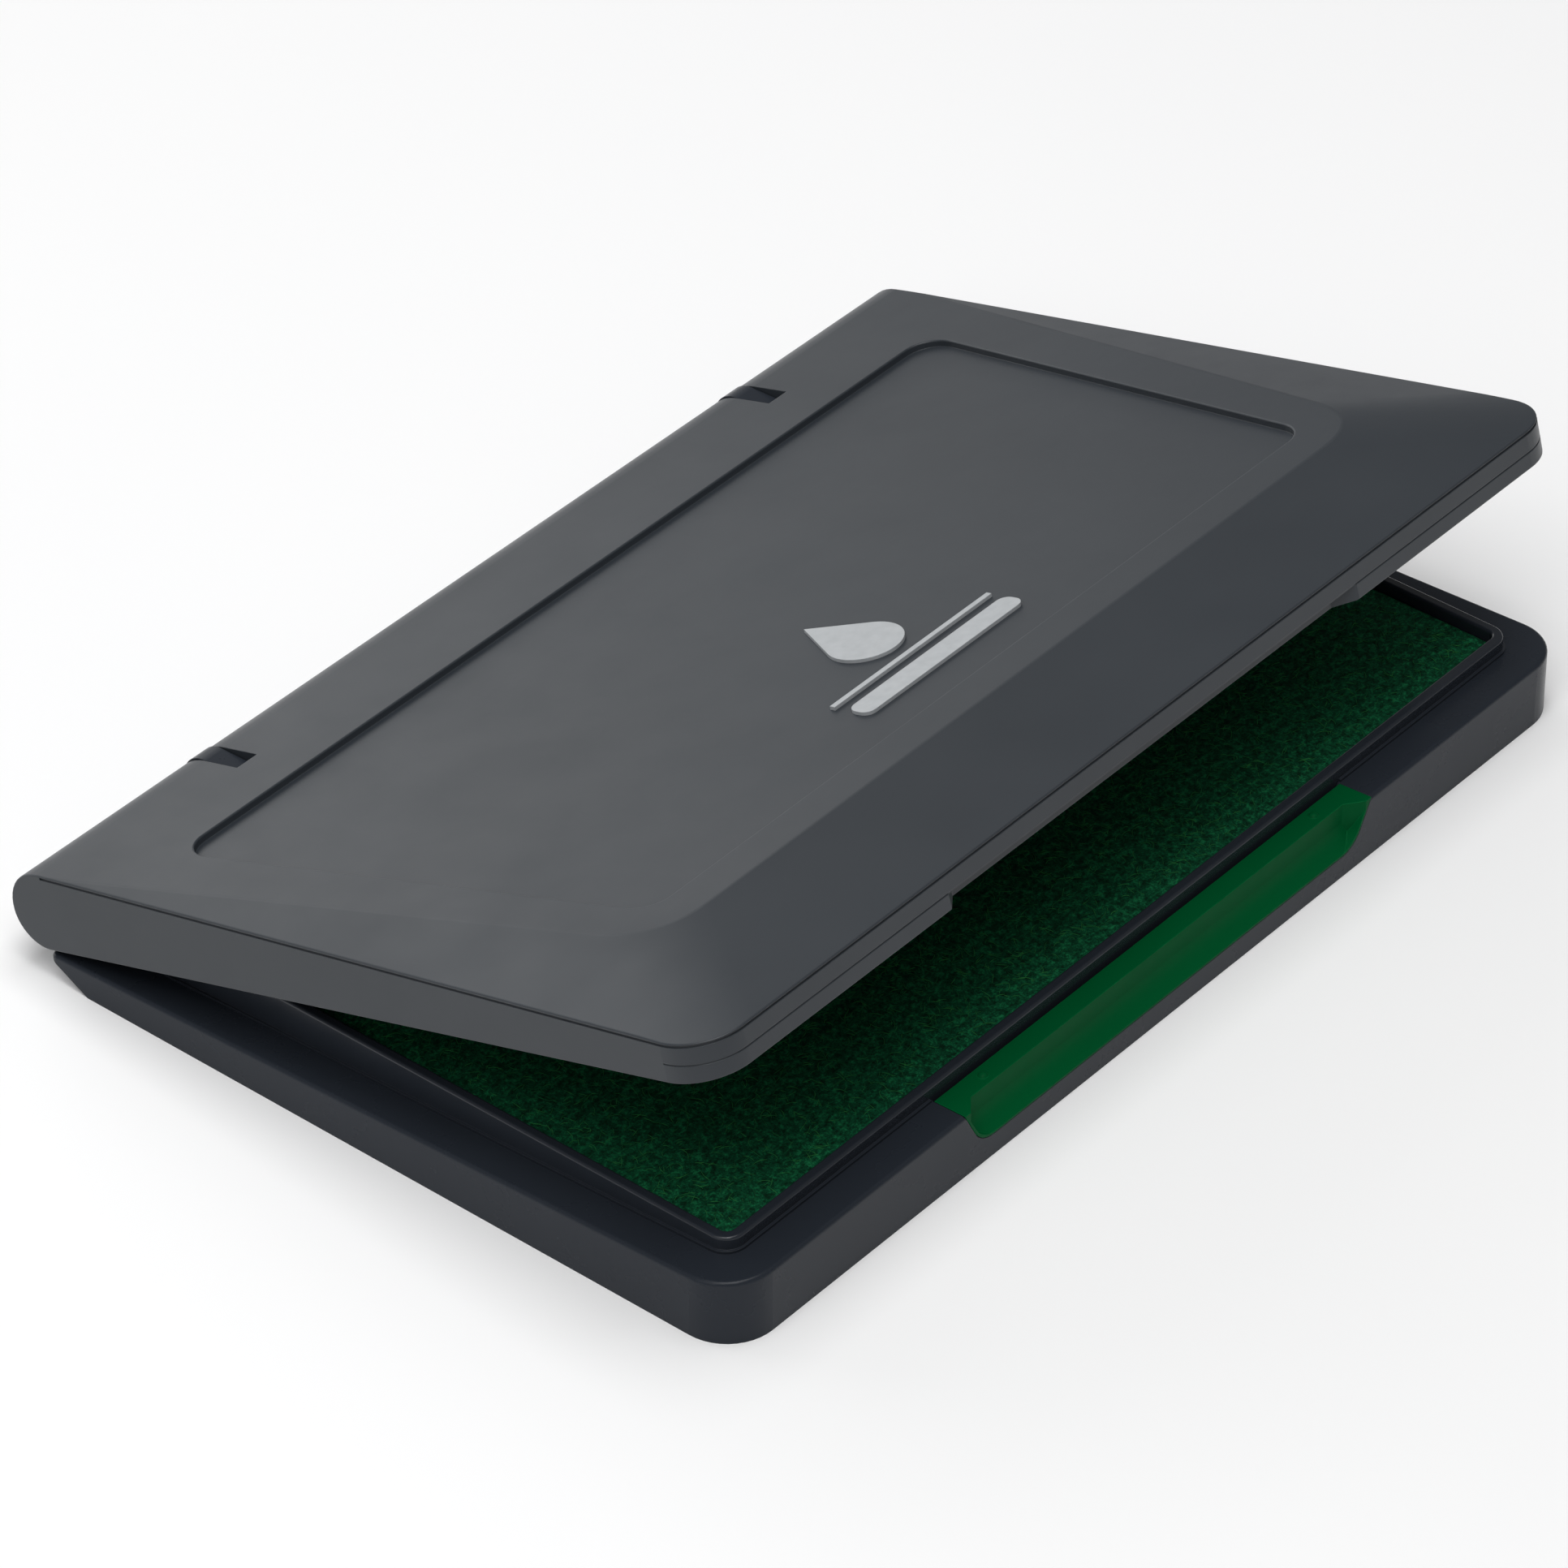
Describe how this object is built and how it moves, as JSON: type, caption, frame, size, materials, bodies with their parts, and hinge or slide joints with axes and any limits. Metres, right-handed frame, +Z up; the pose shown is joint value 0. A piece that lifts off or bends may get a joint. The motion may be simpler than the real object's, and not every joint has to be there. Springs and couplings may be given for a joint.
{
  "type": "ink pad",
  "caption": "Flat rectangular stamp pad with a wedge-shaped case, a hinged lid shown part open, a green felt pad and a coloured finger grip.",
  "frame": {"origin": "centre of the case's footprint on its flat underside", "axes": "+X to the right along the hinge seen from the front, +Y towards the hinge at the rear, +Z up"},
  "size_m": [0.1202, 0.0838, 0.0317],
  "materials": {
    "case_plastic": "satin",
    "lid_plastic": "satin",
    "grip_plastic": "satin",
    "inked_felt": "matte",
    "reservoir_felt": "matte",
    "pin_plastic": "satin",
    "emblem_silver": "satin metallic paint"
  },
  "bodies": {
    "base": {"base_case": "case_plastic", "bottom_cover": "case_plastic", "pad_tray": "case_plastic", "ink_reservoir": "reservoir_felt", "ink_felt": "inked_felt", "colour_grip": "grip_plastic"},
    "lid": {"lid_shell": "lid_plastic", "hinge_pin_left": "pin_plastic", "hinge_pin_right": "pin_plastic", "lid_emblem": "emblem_silver"}
  },
  "joints": [
    {"name": "lid_hinge", "type": "hinge", "parent": "base", "child": "lid", "pos_m": [0, 0.0405, 0.0084], "axis": [-1, 0, 0], "range_deg": [-14.85, 165]}
  ]
}
